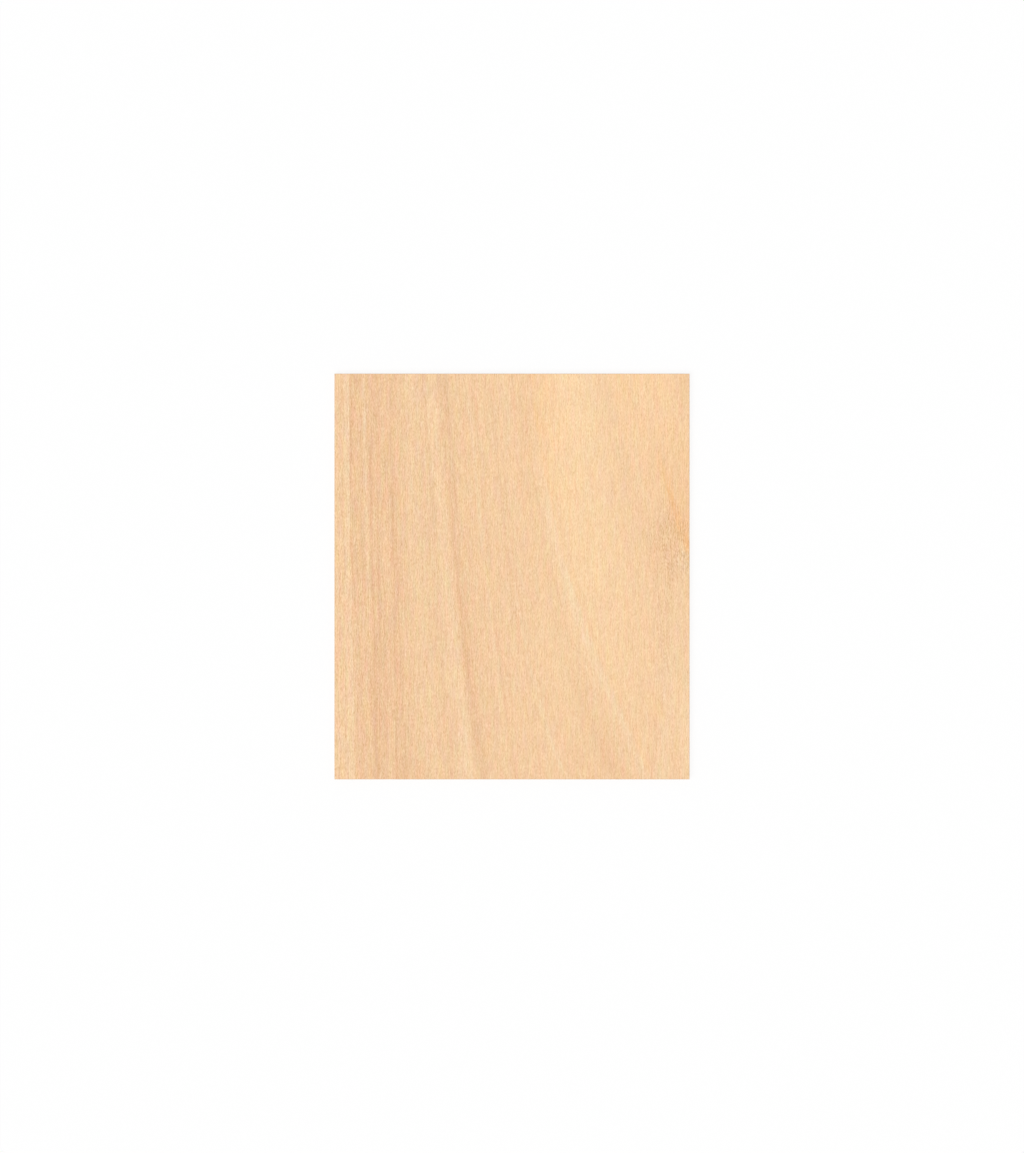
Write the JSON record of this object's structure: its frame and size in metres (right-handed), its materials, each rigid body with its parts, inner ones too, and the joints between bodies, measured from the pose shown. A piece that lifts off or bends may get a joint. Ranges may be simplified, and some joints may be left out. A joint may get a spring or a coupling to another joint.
{
  "type": "plywood sheet",
  "caption": "Flat rectangular plywood sheet with a pale, straight-grained face veneer, square sawn edges and lightly eased arrises, used as stock for cutting panels.",
  "frame": {"origin": "centre of the back face, on which the sheet lies", "axes": "+Z out of the show face, +Y along the length and the face grain, +X across the grain"},
  "size_m": [0.2666, 0.3048, 0.006],
  "materials": {
    "veneered_plywood": "bare pale hardwood veneer, finely sanded, matt, grain along the length"
  },
  "bodies": {
    "root": {"plywood_sheet": "veneered_plywood"}
  },
  "joints": []
}
